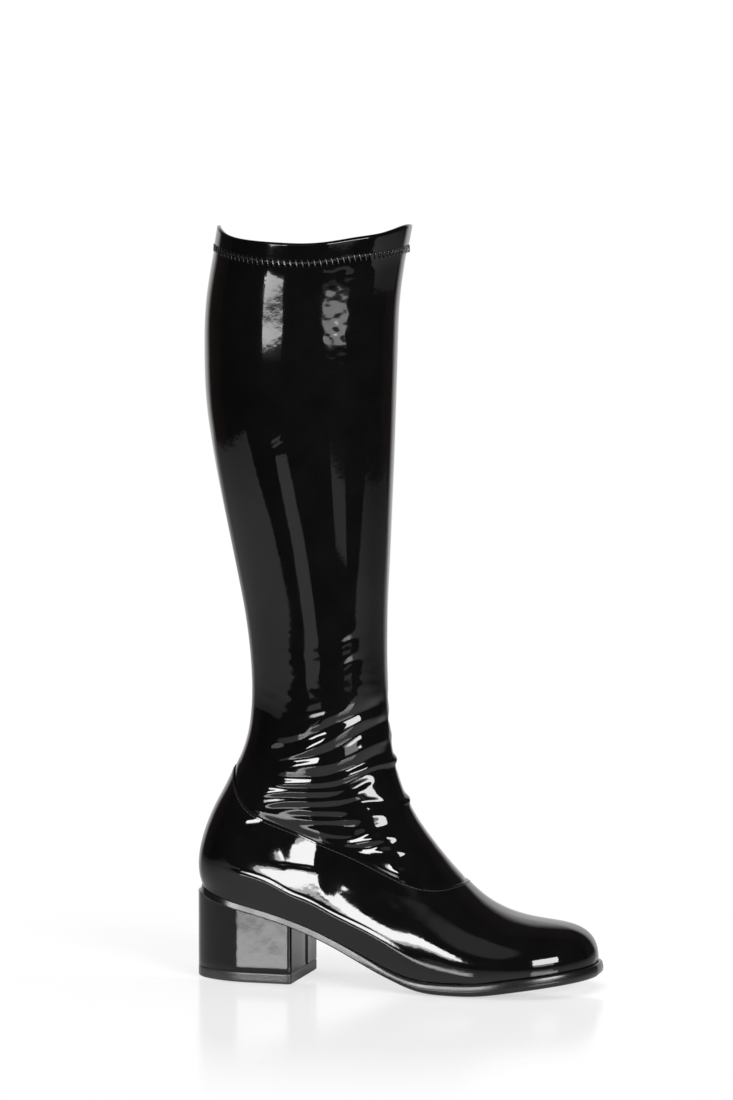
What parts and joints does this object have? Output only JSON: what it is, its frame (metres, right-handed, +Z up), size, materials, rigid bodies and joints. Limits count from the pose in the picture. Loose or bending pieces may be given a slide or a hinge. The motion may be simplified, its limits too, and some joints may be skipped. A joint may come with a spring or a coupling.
{
  "type": "chunky heel boot",
  "caption": "Knee-high stretch boot in glossy black with a round toe, a seamed foot part, a turned collar hem and a covered chunky block heel; a right boot that stands empty on its sole.",
  "frame": {"origin": "on the floor plane under the middle of the boot's bounding box", "axes": "+X towards the toe, +Z up the leg, -Y towards the outer (lateral) side"},
  "size_m": [0.2424, 0.105, 0.4442],
  "materials": {
    "patent": "high gloss patent",
    "heel_cover": "gloss cover over a moulded block",
    "sole": "glossy edge, satin underside",
    "top_lift": "matte",
    "sock": "matte"
  },
  "bodies": {
    "root": {"upper": "patent", "shaft": "patent", "collar_hem": "patent", "heel": "heel_cover", "outsole": "sole", "top_piece": "top_lift", "insole": "sock"}
  },
  "joints": []
}
